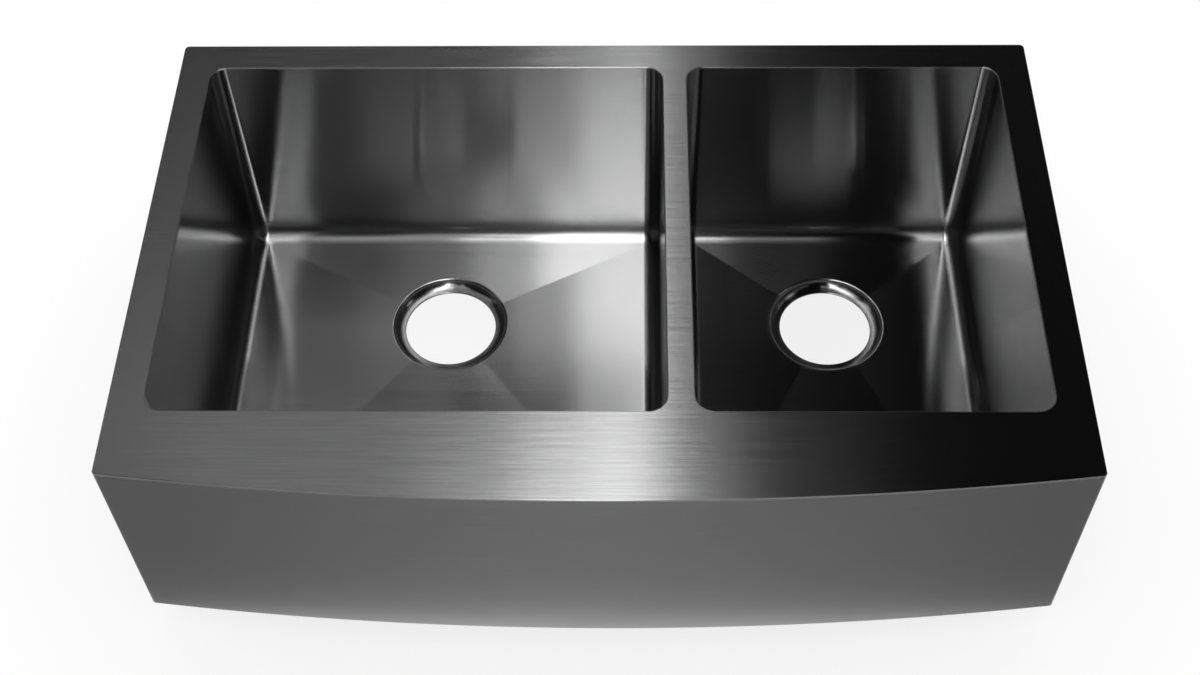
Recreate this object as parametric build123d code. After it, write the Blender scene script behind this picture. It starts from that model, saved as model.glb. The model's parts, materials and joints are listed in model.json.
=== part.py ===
# Double bowl farmhouse sink in brushed stainless sheet, with a bowed apron front.
# Millimetres. +X is to the right of someone who stands at the apron, +Y is to the back, +Z is up.
# The origin is in the middle of the footprint, level with the undersides of the drain wells.
import os
from math import asin, degrees, sqrt

from build123d import *

# Whole sink
sink_width = 838.0
side_depth = 504.0  # back edge to the apron, at the two ends
apron_bow = 25.0  # how far the middle of the apron stands in front of its ends
apron_height = 228.0  # deck top to the apron's bottom edge
sheet = 1.5  # thickness of every steel sheet

# Deck
back_ledge = 31.5
side_ledge = 31.0
divider_width = 24.0
back_corner_radius = 4.5
edge_ease = 1.0  # bevel along the outer edges of the deck and the apron
rim_ease = 0.8  # bevel round the openings

# Bowls
right_bowl_width = 305.0
bowl_length = 409.0  # front to back
bowl_depth = 254.0  # deck top to the floor, along the walls
corner_radius = 17.0
floor_radius = 12.0  # bend between the walls and the floor
floor_fall = 4.5  # from the walls to the middle of the drain

# Drain wells, pressed down into the floors
drain_set_back = 123.5  # drain centre to the bowl's back wall
drain_diameter = 96.0
well_diameter = 119.0  # inside its bevelled lip
well_drop = 6.0  # from the lowest point of the creases to the hole
well_land = 1.5  # upright part of the well's wall below the lip
well_lean = 5.5  # how far the wall leans in towards the seat
seat_rise = 1.3  # dish of the seat round the hole

# Apron
apron_bend = 3.5  # outside radius of the two upright bends
apron_return = 76.0  # length of the side returns, front to back
lip_width = 18.0
lip_corner_radius = 6.0
weld_leg = 3.0
weld_end_gap = 2.0

# Braces between the apron and the bowls' front walls
brace_height = 86.0
brace_flange = 22.0
brace_weld_gap = 2.0  # below the weld beads

# Sound pads
pad_thickness = 4.0
pad_clip = 9.0  # clipped corners
pad_side_margin = 40.0  # from the bowl's upright bends
pad_top_margin = 52.0  # from the deck's underside
pad_bottom_margin = 22.0  # from the floor bend
pad_gap = 12.0  # between pads, and from pads to braces and wells
floor_pad_margin = 22.0  # from the floor bend
side_pad_length = 120.0  # floor pads beside the drain, front to back

# Places worked out from the sizes above
overall_depth = side_depth + apron_bow
half_width = sink_width / 2
back_y = overall_depth / 2
end_y = back_y - side_depth
bow_radius = (half_width**2 + apron_bow**2) / (2 * apron_bow)
bow_centre_y = bow_radius - overall_depth / 2
deck_top = bowl_depth + floor_fall + well_drop + sheet
deck_under = deck_top - sheet
apron_bottom = deck_top - apron_height
floor_z = deck_top - bowl_depth
crease_low = floor_z - floor_fall
seat_z = crease_low - well_drop
return_end_y = end_y + apron_return
bowl_back_y = back_y - back_ledge
bowl_front_y = bowl_back_y - bowl_length
bowl_mid_y = (bowl_back_y + bowl_front_y) / 2
drain_y = bowl_back_y - drain_set_back
left_bowl_width = sink_width - 2 * side_ledge - divider_width - right_bowl_width
left_bowl_x = -half_width + side_ledge + left_bowl_width / 2
right_bowl_x = half_width - side_ledge - right_bowl_width / 2
bowls = {"left": (left_bowl_x, left_bowl_width), "right": (right_bowl_x, right_bowl_width)}


def slab(x_range, y_range, z_range):
    # Upright block between two X, two Y and two Z values.
    sizes = [high - low for low, high in (x_range, y_range, z_range)]
    middles = [(low + high) / 2 for low, high in (x_range, y_range, z_range)]
    return Pos(*middles) * Box(*sizes)


def bowed_front_y(x, inset):
    # The apron's arc, moved inwards by the inset, at a given X.
    return bow_centre_y - sqrt((bow_radius - inset) ** 2 - x**2)


def bowed_outline(inset, rear_y, front_corner):
    # Plan of the sink from a straight rear edge to the bowed front, all moved inwards by the inset.
    half = half_width - inset
    front_y = bowed_front_y(half, inset)
    sides = Polyline((-half, front_y), (-half, rear_y), (half, rear_y), (half, front_y))
    arc = ThreePointArc((half, front_y), (0, bowed_front_y(0, inset)), (-half, front_y))
    outline = make_face(sides + arc)
    front_points = outline.vertices().sort_by(Axis.Y)[:2]
    return fillet(front_points, front_corner)


def bowl_plan(name, grow):
    # Rounded rectangle of a bowl's inside, moved outwards by grow.
    middle_x, width = bowls[name]
    plan = RectangleRounded(width + 2 * grow, bowl_length + 2 * grow, corner_radius + grow)
    return Pos(middle_x, bowl_mid_y) * plan


def drain_well(name, grow):
    # Round well: a bevelled lip, an upright land, a leaning wall and a dished seat that ends at the hole.
    well_radius = well_diameter / 2 + grow
    seat_radius = well_radius - well_lean
    lip_level = crease_low - grow
    seat_level = seat_z - grow
    profile = Polyline(
        (0, lip_level + floor_fall),
        (well_radius + floor_fall, lip_level + floor_fall),
        (well_radius, lip_level),
        (well_radius, lip_level - well_land),
        (seat_radius, seat_level + seat_rise),
        (drain_diameter / 2, seat_level),
        (0, seat_level),
        close=True,
    )
    section = Plane.XZ * make_face(profile)
    return Pos(bowls[name][0], drain_y) * revolve(section, Axis.Z)


def bowl_space(name, grow, top_z):
    # What a bowl holds: an upright rounded box, a floor of four planes that fall to the drain, and the well.
    middle_x, width = bowls[name]
    low_z = floor_z - grow
    walls = extrude(Pos(0, 0, low_z) * bowl_plan(name, grow), top_z - low_z)
    floor_edges = walls.edges().group_by(Axis.Z)[0]
    walls = fillet(floor_edges, floor_radius + grow)
    crease_plan = Rectangle(width - 2 * corner_radius, bowl_length - 2 * corner_radius)
    crease_base = Pos(middle_x, bowl_mid_y, low_z) * crease_plan
    drain_point = Vertex(middle_x, drain_y, crease_low - grow)
    creased_floor = loft([crease_base.face(), drain_point], ruled=True)
    return walls + creased_floor + drain_well(name, grow)


def drain_hole(name):
    hole = Cylinder(drain_diameter / 2, 2 * well_drop)
    return Pos(bowls[name][0], drain_y, seat_z) * hole


def make_bowl(name):
    # One folded and welded shell, its floor creased to the drain, butted against the deck's underside.
    return bowl_space(name, sheet, deck_under) - bowl_space(name, 0, deck_top) - drain_hole(name)


def make_deck():
    plan = bowed_outline(0, back_y, apron_bend)
    plan = fillet(plan.vertices().sort_by(Axis.Y)[-2:], back_corner_radius)
    for name in bowls:
        plan -= bowl_plan(name, 0)
    deck = extrude(Pos(0, 0, deck_under) * plan, sheet)
    deck = chamfer(deck.faces().sort_by(Axis.Z)[-1].outer_wire().edges(), edge_ease)
    rims = [edge for wire in deck.faces().sort_by(Axis.Z)[-1].inner_wires() for edge in wire.edges()]
    return chamfer(rims, rim_ease)


def apron_layer(outer_inset, inner_inset, inner_corner, z_range):
    # Band that follows the returns and the bowed front, between two insets.
    outer = bowed_outline(outer_inset, return_end_y, apron_bend - outer_inset)
    inner = bowed_outline(inner_inset, back_y, inner_corner)
    return extrude(Pos(0, 0, z_range[0]) * (outer - inner), z_range[1] - z_range[0])


def make_apron():
    # One sheet, rolled to the bow and bent back at both ends, with its bottom edge eased.
    height = deck_under - apron_bottom
    block = extrude(Pos(0, 0, apron_bottom) * bowed_outline(0, return_end_y, apron_bend), height)
    bottom_edges = block.edges().group_by(Axis.Z)[0].sort_by(Axis.Y)
    block = chamfer(bottom_edges[:-1], edge_ease)
    hollow = bowed_outline(sheet, back_y, apron_bend - sheet)
    return block - extrude(Pos(0, 0, apron_bottom) * hollow, height)


def make_lip():
    return apron_layer(sheet, lip_width, lip_corner_radius, (apron_bottom, apron_bottom + sheet))


def inside_beads(corner_z, direction):
    # Fillet welds in the apron's inside corner: one along the bow and one along each return.
    toe = corner_z + direction * weld_leg
    inner_half = half_width - sheet
    bow_reach = inner_half - weld_leg - weld_end_gap
    bow_inner = bow_radius - sheet
    half_angle = degrees(asin(bow_reach / bow_inner))
    section = Plane.YZ * make_face(
        Polyline((-bow_inner, corner_z), (weld_leg - bow_inner, corner_z), (-bow_inner, toe), close=True)
    )
    bow_bead = revolve(Rot(0, 0, -half_angle) * section, Axis.Z, 2 * half_angle)
    beads = [Pos(0, bow_centre_y) * bow_bead]
    start_y = bowed_front_y(inner_half, sheet) + weld_leg + weld_end_gap
    for side in (-1, 1):
        wall_x = side * inner_half
        corner = Polyline(
            (wall_x, corner_z), (wall_x - side * weld_leg, corner_z), (wall_x, toe), close=True
        )
        upright = Plane((0, start_y, 0), x_dir=(1, 0, 0), z_dir=(0, -1, 0)) * make_face(corner)
        beads.append(extrude(upright, return_end_y - start_y, dir=(0, 1, 0)))
    return Compound(children=beads)


def make_rim_weld(name):
    # Fillet weld all round a bowl, between its wall and the deck's underside.
    wide = Pos(0, 0, deck_under) * bowl_plan(name, sheet + weld_leg)
    narrow = Pos(0, 0, deck_under - weld_leg) * bowl_plan(name, sheet)
    bead = loft([wide.face(), narrow.face()], ruled=True)
    return bead - extrude(narrow, weld_leg)


brace_top = deck_under - weld_leg - brace_weld_gap
brace_bottom = brace_top - brace_height
bowl_face_y = bowl_front_y - sheet


def make_brace(name):
    # Channel with its web square to the apron, one flange on the apron and one on the bowl.
    web_x = bowls[name][0] - brace_flange / 2
    reach = slab((web_x, web_x + brace_flange), (-back_y, bowl_face_y), (brace_bottom, brace_top))
    hollow = slab(
        (web_x + sheet, web_x + 2 * brace_flange), (-back_y, bowl_face_y - sheet), (brace_bottom, brace_top)
    )
    height = brace_top - brace_bottom
    behind = Pos(0, 0, brace_bottom) * bowed_outline(sheet, back_y, apron_bend - sheet)
    inside = Pos(0, 0, brace_bottom) * bowed_outline(2 * sheet, back_y, apron_bend - sheet)
    return (reach & extrude(behind, height)) - (hollow & extrude(inside, height))


def pad_plan(width, length):
    # Rectangle with clipped corners.
    return chamfer(Rectangle(width, length).vertices(), pad_clip)


def wall_pad(width, z_range):
    # Upright pad on the XZ plane, its glued face at Y = 0 and its body towards -Y.
    plan = pad_plan(width, z_range[1] - z_range[0])
    return Pos(0, 0, (z_range[0] + z_range[1]) / 2) * extrude(Plane.XZ * plan, pad_thickness)


def make_wall_pads(name):
    middle_x, width = bowls[name]
    low = floor_z + floor_radius + pad_bottom_margin
    high = deck_under - pad_top_margin
    flat_width = width - 2 * (corner_radius + pad_side_margin)
    flat_length = bowl_length - 2 * (corner_radius + pad_side_margin)
    half_out = width / 2 + sheet
    side_pad = wall_pad(flat_length, (low, high))
    left = Pos(middle_x - half_out, bowl_mid_y) * Rot(0, 0, -90) * side_pad
    right = Pos(middle_x + half_out, bowl_mid_y) * Rot(0, 0, 90) * side_pad
    back = Pos(middle_x, bowl_back_y + sheet) * Rot(0, 0, 180) * wall_pad(flat_width, (low, high))
    front = Pos(middle_x, bowl_face_y) * wall_pad(flat_width, (low, brace_bottom - pad_gap))
    return {"back": back, "front": front, "left_side": left, "right_side": right}


def make_floor_pads(name):
    # Pads that lie against the creased floor's underside, in front of the drain well and beside it.
    middle_x, width = bowls[name]
    edge = floor_radius + floor_pad_margin
    well_clear = well_diameter / 2 + sheet + pad_gap
    left_x = middle_x - width / 2 + edge
    right_x = middle_x + width / 2 - edge
    side_low = drain_y - side_pad_length / 2
    side_high = drain_y + side_pad_length / 2
    places = {
        "front": (left_x, right_x, bowl_front_y + edge, side_low - pad_gap),
        "left": (left_x, middle_x - well_clear, side_low, side_high),
        "right": (middle_x + well_clear, right_x, side_low, side_high),
    }
    outside = bowl_space(name, sheet, deck_under)
    layer = Pos(0, 0, -pad_thickness) * outside - outside
    pads = {}
    for place, (x_low, x_high, y_low, y_high) in places.items():
        plan = pad_plan(x_high - x_low, y_high - y_low)
        column = Pos((x_low + x_high) / 2, (y_low + y_high) / 2) * extrude(plan, deck_under)
        pads[place] = layer & column
    return pads


def make_apron_pads():
    # Pads on the back of the apron, in the three bays that the braces leave.
    low = apron_bottom + sheet + weld_leg + pad_gap
    high = brace_top
    layer = apron_layer(sheet, sheet + pad_thickness, apron_bend - sheet, (low, high))
    left_web = left_bowl_x - brace_flange / 2
    right_web = right_bowl_x - brace_flange / 2
    bays = {
        "left": (-half_width + pad_side_margin, left_web - pad_gap),
        "middle": (left_web + brace_flange + pad_gap, right_web - pad_gap),
        "right": (right_web + brace_flange + pad_gap, half_width - pad_side_margin),
    }
    return {bay: layer & slab(span, (-back_y, end_y + apron_bow), (low, high)) for bay, span in bays.items()}


nodes = {"deck_plate": make_deck(), "apron_panel": make_apron(), "apron_bottom_lip": make_lip()}
nodes["apron_seam_weld"] = inside_beads(deck_under, -1)
nodes["lip_seam_weld"] = inside_beads(apron_bottom + sheet, 1)
for bowl in bowls:
    nodes[f"{bowl}_bowl"] = make_bowl(bowl)
    nodes[f"{bowl}_rim_weld"] = make_rim_weld(bowl)
    nodes[f"{bowl}_apron_brace"] = make_brace(bowl)
    for place, pad in make_wall_pads(bowl).items():
        nodes[f"{bowl}_bowl_{place}_pad"] = pad
    for place, pad in make_floor_pads(bowl).items():
        nodes[f"{bowl}_bowl_floor_{place}_pad"] = pad
for place, pad in make_apron_pads().items():
    nodes[f"apron_{place}_pad"] = pad

os.makedirs("parts", exist_ok=True)
for name, solid in nodes.items():
    export_step(solid, f"parts/{name}.step")
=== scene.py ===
import json
import math

import bpy
import numpy as np
from mathutils import Matrix, Vector
from mathutils.geometry import tessellate_polygon


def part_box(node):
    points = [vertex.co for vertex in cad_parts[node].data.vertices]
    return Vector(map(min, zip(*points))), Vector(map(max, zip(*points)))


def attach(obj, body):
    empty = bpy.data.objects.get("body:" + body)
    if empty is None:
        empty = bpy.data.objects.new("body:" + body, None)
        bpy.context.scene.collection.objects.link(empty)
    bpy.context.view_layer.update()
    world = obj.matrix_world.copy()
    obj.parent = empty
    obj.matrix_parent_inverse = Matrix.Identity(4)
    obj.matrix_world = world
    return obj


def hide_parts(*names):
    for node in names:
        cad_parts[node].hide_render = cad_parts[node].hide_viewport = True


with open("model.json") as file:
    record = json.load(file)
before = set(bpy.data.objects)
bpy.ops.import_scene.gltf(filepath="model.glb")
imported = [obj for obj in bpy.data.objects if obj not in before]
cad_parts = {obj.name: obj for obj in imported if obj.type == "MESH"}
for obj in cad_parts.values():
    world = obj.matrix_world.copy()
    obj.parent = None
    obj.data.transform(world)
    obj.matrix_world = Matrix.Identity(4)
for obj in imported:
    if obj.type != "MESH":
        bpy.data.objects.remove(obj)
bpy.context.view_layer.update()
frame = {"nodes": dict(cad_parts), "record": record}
nodes = frame["nodes"]
mounts = {m["name"]: m for m in frame["record"]["mounts"]}
scene = bpy.context.scene
scene.view_settings.view_transform = "Standard"
quarterTurn = 0.5 * math.pi
print("frame loaded:", len(nodes), "nodes")

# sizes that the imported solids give, in metres
deckLow, deckHigh = [np.array(c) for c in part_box("deck_plate")]
apronLow, apronHigh = [np.array(c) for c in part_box("apron_panel")]
sheet = deckHigh[2] - deckLow[2]
deckTop, deckUnder = deckHigh[2], deckLow[2]

outline = {
    "bow": 0.025,         # how far the middle of the front stands before its ends
    "frontBend": 0.0035,  # outside radius of the two upright front bends
    "backCorner": 0.0045,
    "arcSteps": 14,
    "sideSteps": 40,
    "returnSteps": 14,
    "bowSteps": 160,
}

# A walk is a line seen from above: each step has an anchor, a normal and a reach from anchor to line.


# An arc of a walk: one centre, a normal that turns evenly from the first angle to the last.
def arcPart(centre, reach, startAngle, endAngle, steps):
    angle = np.linspace(startAngle, endAngle, steps + 1)
    normal = np.stack([np.cos(angle), np.sin(angle)], 1)
    return np.tile(centre, (steps + 1, 1)), normal, np.full(steps + 1, reach)


# The straight between two arcs: the anchor slides from start to end by half a cosine wave, so that
# steps crowd at both ends and the bends look crisp.
def straightPart(start, end, angle, reach, steps):
    share = 0.5 - 0.5 * np.cos(np.pi * np.arange(1, steps) / steps)
    anchor = np.asarray(start) + (np.asarray(end) - np.asarray(start)) * share[:, None]
    normal = np.tile([math.cos(angle), math.sin(angle)], (steps - 1, 1))
    return anchor, normal, np.full(steps - 1, reach)


# A walk joins its parts end to end.
def joinWalk(parts):
    anchor, normal, reach = [np.concatenate(column) for column in zip(*parts)]
    return {"anchor": anchor, "normal": normal, "reach": reach}


# The ring of a walk at any inset: anchor + (reach - inset) * normal.
def ringAt(walk, inset):
    return walk["anchor"] + (walk["reach"] - inset)[:, None] * walk["normal"]


# Distance from the first of a row of points to each of them: the sum of the steps between.
def pathLength(points):
    return np.concatenate([[0.0], np.cumsum(np.linalg.norm(np.diff(points, axis=0), axis=1))])


# The same for a walk, and back to its first step where it is closed.
def walkLength(walk, closed):
    ring = ringAt(walk, 0.0)
    return pathLength(np.vstack([ring, ring[:1]]) if closed else ring)


# Round a rounded rectangle, anticlockwise from above: four corner arcs with a straight after each.
def rectangleWalk(xLow, xHigh, yLow, yHigh, radius, arcSteps, sideSteps):
    corners = np.array([
        [xHigh - radius, yLow + radius], [xHigh - radius, yHigh - radius],
        [xLow + radius, yHigh - radius], [xLow + radius, yLow + radius],
    ])
    parts = []
    for k in range(4):
        turn = quarterTurn * k
        parts.append(arcPart(corners[k], radius, turn - quarterTurn, turn, arcSteps))
        parts.append(straightPart(corners[k], corners[(k + 1) % 4], turn, radius, sideSteps))
    return joinWalk(parts)


# The bowed front: an arc of a large circle whose centre lies far behind the sink. The bends into the
# sides are small arcs inside it, tangent to it and to the sides.
halfWidth = deckHigh[0]
frontY = deckLow[1]
bowRadius = (halfWidth ** 2 + outline["bow"] ** 2) / (2.0 * outline["bow"])
bowCentre = np.array([0.0, frontY + bowRadius])
bend = outline["frontBend"]
bendX = halfWidth - bend
bendY = bowCentre[1] - math.sqrt((bowRadius - bend) ** 2 - bendX ** 2)
bowAngle = math.asin(bendX / (bowRadius - bend))


# The bow between its bends: the normal turns evenly through the bow's angle, and the anchor lies one
# bend's radius inside the large circle.
def bowPart(steps):
    angle = np.linspace(-bowAngle, bowAngle, steps + 1)[1:-1]
    normal = np.stack([np.sin(angle), -np.cos(angle)], 1)
    anchor = bowCentre + (bowRadius - bend) * normal
    return anchor, normal, np.full(steps - 1, bend)


# From the left side into the bow: an arc from the side's normal to the bow's first one.
def leftBend():
    return arcPart([-bendX, bendY], bend, math.pi, 3.0 * quarterTurn - bowAngle, outline["arcSteps"])


# From the bow into the right side: an arc from the bow's last normal to the side's.
def rightBend():
    return arcPart([bendX, bendY], bend, bowAngle - quarterTurn, 0.0, outline["arcSteps"])


# Corner numbers of the quads between rings of equal length, with the ring and step of every corner.
def gridQuads(rings, steps, closedRings, closedSteps, first=0):
    ring, step = np.meshgrid(
        np.arange(rings if closedRings else rings - 1),
        np.arange(steps if closedSteps else steps - 1),
        indexing="ij",
    )
    ring, step = ring.ravel(), step.ravel()
    cornerRing = np.stack([ring, ring + 1, ring + 1, ring], 1)
    cornerStep = np.stack([step, step, step + 1, step + 1], 1)
    return first + (cornerRing % rings) * steps + cornerStep % steps, cornerRing, cornerStep


# Puts an object with the given data into the scene.
def addObject(name, data):
    placed = bpy.data.objects.new(name, data)
    scene.collection.objects.link(placed)
    return placed


# A mesh piece from its points and groups of faces. Each group holds corner numbers, every corner's
# place in the grain (across the brush lines and along them, in metres) and the faces' material number.
def makePiece(name, points, groups, materials):
    mesh = bpy.data.meshes.new(name)
    faces, grain, finish = [], [], []
    for corners, cornerGrain, faceFinish in groups:
        faces.extend(corners.tolist())
        grain.append(np.asarray(cornerGrain, np.float32).reshape(-1))
        finish.append(np.broadcast_to(faceFinish, len(corners)).astype(np.int32))
    mesh.from_pydata(points.tolist(), [], faces)
    for material in materials:
        mesh.materials.append(material)
    mesh.uv_layers.new(name="grain").data.foreach_set("uv", np.concatenate(grain))
    mesh.polygons.foreach_set("material_index", np.concatenate(finish))
    mesh.shade_smooth()
    piece = addObject(name, mesh)
    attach(piece, "root")
    return piece


# A CAD node's name and an ending as one camelCase word.
def pieceName(node, ending):
    words = node.split("_") + [ending]
    return words[0] + "".join(word.capitalize() for word in words[1:])


# A profile of (inset, height) rows carried along a walk: every row becomes one ring.
def carryProfile(walk, profile):
    count = len(walk["reach"])
    rings = [np.column_stack([ringAt(walk, inset), np.full(count, height)]) for inset, height in profile]
    return np.concatenate(rings)


# Materials

steelFinish = {
    "tone": (0.50, 0.50, 0.502),
    "fineSpread": 0.07,    # light and dark of the fine brush lines, as a share of the tone
    "bandSpread": 0.035,   # the same for the broad ones
    "roughness": 0.24,
    "roughSpread": 0.015,  # how far the broad lines change it
    "cloudSpread": 0.015,  # and how far wide soft clouds do
    "cloudSize": 0.16,
    "stretch": 1.0,        # how much longer a highlight is across the brush lines than along them
    "lineWidth": 0.00015,
    "lineLength": 0.09,
    "bandWidth": 0.0022,
    "bandLength": 0.30,
    "groove": 0.12,        # how far the brush lines tilt the surface
    "scatter": 0.0,        # how far grooves too fine to see tilt it
    "scatterCell": 0.00001,
}
deckFinish = {**steelFinish, "bandSpread": 0.12, "bandWidth": 0.0013, "bandLength": 0.10}
# The bowls' steel: a lighter tone than the deck's and the apron's, painted light that brightens the insides
# of the bowls, which walls and floor share; and fainter brush lines.
basinLitFinish = {**steelFinish, "tone": (0.55, 0.55, 0.552), "fineSpread": 0.04, "bandSpread": 0.02}
wallFinish = {**basinLitFinish, "roughness": 0.13, "groove": 0.06, "scatter": 0.46}
floorFinish = {**basinLitFinish, "roughness": 0.17, "groove": 0.12, "scatter": 0.10}
noiseMiddle = (0.25, 0.75)  # the range that holds most values of a noise


# Adds a node, sets its sockets by name and returns it.
def addNode(tree, kind, settings=None, **values):
    node = tree.nodes.new(kind)
    for key, value in (settings or {}).items():
        setattr(node, key, value)
    for key, value in values.items():
        node.inputs[key].default_value = value
    return node


# A maths node fed by the given sources in turn, as its result.
def combine(tree, operation, *sources, kind="ShaderNodeMath"):
    node = addNode(tree, kind, {"operation": operation})
    for source, socket in zip(sources, node.inputs):
        tree.links.new(source, socket)
    return node.outputs[0]


# A material with nothing but one shader joined to its output.
def newMaterial(name, kind="ShaderNodeBsdfPrincipled"):
    material = bpy.data.materials.new(name)
    material.use_nodes = True
    tree = material.node_tree
    tree.nodes.clear()
    shader = tree.nodes.new(kind)
    output = tree.nodes.new("ShaderNodeOutputMaterial")
    tree.links.new(shader.outputs[0], output.inputs[0])
    return material, tree, shader


# Scales a coordinate to a pattern's cells: the coordinate divided by their sizes.
def scaledBy(tree, source, cell):
    scale = addNode(tree, "ShaderNodeVectorMath", {"operation": "MULTIPLY"})
    scale.inputs[1].default_value = [1.0 / c for c in cell]
    tree.links.new(source, scale.inputs[0])
    return scale.outputs[0]


# Layered noise over a coordinate, from 0 to 1 and mostly near one half.
def noiseOn(tree, vector, detail=2.0, rough=0.5, dimensions="3D"):
    values = {"Scale": 1.0, "Detail": detail, "Roughness": rough}
    noise = addNode(tree, "ShaderNodeTexNoise", {"noise_dimensions": dimensions}, **values)
    tree.links.new(vector, noise.inputs["Vector"])
    return noise.outputs["Fac"]


# A value carried from one range to another in proportion.
def rangeOf(tree, source, low, high, fromLow=0.0, fromHigh=1.0):
    values = {"From Min": fromLow, "From Max": fromHigh, "To Min": low, "To Max": high}
    spread = addNode(tree, "ShaderNodeMapRange", **values)
    tree.links.new(source, spread.inputs["Value"])
    return spread.outputs[0]


# The same, from a middle less the spread to the middle plus the spread.
def aboutMiddle(tree, source, middle, spread, fromRange=(0.0, 1.0)):
    return rangeOf(tree, source, middle - spread, middle + spread, *fromRange)


# The shader's colour is the tone times a share.
def tintBy(tree, shader, tone, share):
    tint = addNode(tree, "ShaderNodeVectorMath", {"operation": "SCALE"})
    tint.inputs[0].default_value = tone
    tree.links.new(share, tint.inputs["Scale"])
    tree.links.new(tint.outputs[0], shader.inputs["Base Color"])


# Brushed steel: noise drawn out along the grain makes fine and broad brush lines, which change tone and
# roughness a little. The normal leans across the grain by the fine noise times the groove, and by the
# mean of three random numbers times the scatter, both less their middles. The highlight is stretched
# across the lines.
def brushedSteel(name, look):
    material, tree, shader = newMaterial(name)
    link = tree.links.new
    grain = addNode(tree, "ShaderNodeUVMap", {"uv_map": "grain"}).outputs[0]
    tangent = addNode(tree, "ShaderNodeTangent", {"direction_type": "UV_MAP", "uv_map": "grain"}).outputs[0]
    place = tree.nodes.new("ShaderNodeTexCoord").outputs["Object"]
    lineCell = scaledBy(tree, grain, (look["lineWidth"], look["lineLength"], 1.0))
    bandCell = scaledBy(tree, grain, (look["bandWidth"], look["bandLength"], 1.0))
    fine = noiseOn(tree, lineCell, detail=2.0, rough=0.6, dimensions="2D")
    broad = noiseOn(tree, bandCell, detail=3.0, rough=0.6, dimensions="2D")
    clouds = noiseOn(tree, scaledBy(tree, place, [look["cloudSize"]] * 3))

    lines = aboutMiddle(tree, fine, 1.0, look["fineSpread"], noiseMiddle)
    bands = aboutMiddle(tree, broad, 1.0, look["bandSpread"], noiseMiddle)
    tintBy(tree, shader, look["tone"], combine(tree, "MULTIPLY", lines, bands))

    rough = aboutMiddle(tree, broad, look["roughness"], look["roughSpread"], noiseMiddle)
    rougher = aboutMiddle(tree, clouds, 0.0, look["cloudSpread"])
    link(combine(tree, "ADD", rough, rougher), shader.inputs["Roughness"])

    draws = addNode(tree, "ShaderNodeTexWhiteNoise", {"noise_dimensions": "3D"})
    link(scaledBy(tree, place, [look["scatterCell"]] * 3), draws.inputs["Vector"])
    mean = addNode(tree, "ShaderNodeVectorMath", {"operation": "DOT_PRODUCT"})
    mean.inputs[1].default_value = [1.0 / 3.0] * 3
    link(draws.outputs["Color"], mean.inputs[0])
    grooves = aboutMiddle(tree, fine, 0.0, 0.5 * look["groove"])
    unseen = aboutMiddle(tree, mean.outputs["Value"], 0.0, 0.5 * look["scatter"])
    tilt = addNode(tree, "ShaderNodeVectorMath", {"operation": "SCALE"})
    link(tangent, tilt.inputs[0])
    link(combine(tree, "ADD", grooves, unseen), tilt.inputs["Scale"])
    normal = tree.nodes.new("ShaderNodeNewGeometry").outputs["Normal"]
    leaning = combine(tree, "ADD", normal, tilt.outputs[0], kind="ShaderNodeVectorMath")
    link(combine(tree, "NORMALIZE", leaning, kind="ShaderNodeVectorMath"), shader.inputs["Normal"])

    link(tangent, shader.inputs["Tangent"])
    shader.inputs["Anisotropic"].default_value = look["stretch"]
    shader.inputs["Metallic"].default_value = 1.0
    return material


deckSteel = brushedSteel("deckSteel", deckFinish)
apronSteel = brushedSteel("apronSteel", steelFinish)
wallSteel = brushedSteel("wallSteel", wallFinish)
floorSteel = brushedSteel("floorSteel", floorFinish)

coatPattern = {
    "coarser": 2.6,        # size of the large blobs against the small ones
    "shade": (0.75, 1.2),  # share of the tone in the hollows and on the tops
    "height": (0.7, 1.3),  # sum of the two noises there
    "bump": 0.8,
}
undercoatLook = {"tone": (0.36, 0.37, 0.38), "speck": 0.0035, "depth": 0.0005, "roughness": 0.78}
padLook = {"tone": (0.022, 0.022, 0.024), "speck": 0.0012, "depth": 0.00012, "roughness": 0.62}
millLook = {"tone": (0.34, 0.335, 0.325), "speck": 0.004, "depth": 0.00008, "roughness": 0.42}


# Sprayed undercoat: noises for small and large blobs add up to a height, which bumps the surface and
# lightens the tone towards the tops.
def sprayedCoat(name, look):
    material, tree, shader = newMaterial(name)
    link = tree.links.new
    place = tree.nodes.new("ShaderNodeTexCoord").outputs["Object"]
    large = noiseOn(tree, scaledBy(tree, place, [look["speck"] * coatPattern["coarser"]] * 3))
    small = noiseOn(tree, scaledBy(tree, place, [look["speck"]] * 3), detail=3.0, rough=0.6)
    height = combine(tree, "ADD", large, small)
    tintBy(tree, shader, look["tone"], rangeOf(tree, height, *coatPattern["shade"], *coatPattern["height"]))
    bump = addNode(tree, "ShaderNodeBump", Strength=coatPattern["bump"], Distance=look["depth"])
    link(height, bump.inputs["Height"])
    link(bump.outputs[0], shader.inputs["Normal"])
    shader.inputs["Roughness"].default_value = look["roughness"]
    return material


# Mill sheet and weld metal: the same pattern, wide and flat, on metal.
def millSteel(name, look):
    material = sprayedCoat(name, look)
    material.node_tree.nodes["Principled BSDF"].inputs["Metallic"].default_value = 1.0
    return material


undercoat = sprayedCoat("undercoat", undercoatLook)
padRubber = sprayedCoat("padRubber", padLook)
millMetal = millSteel("millMetal", millLook)
print("materials made")

# Bowls

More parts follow.
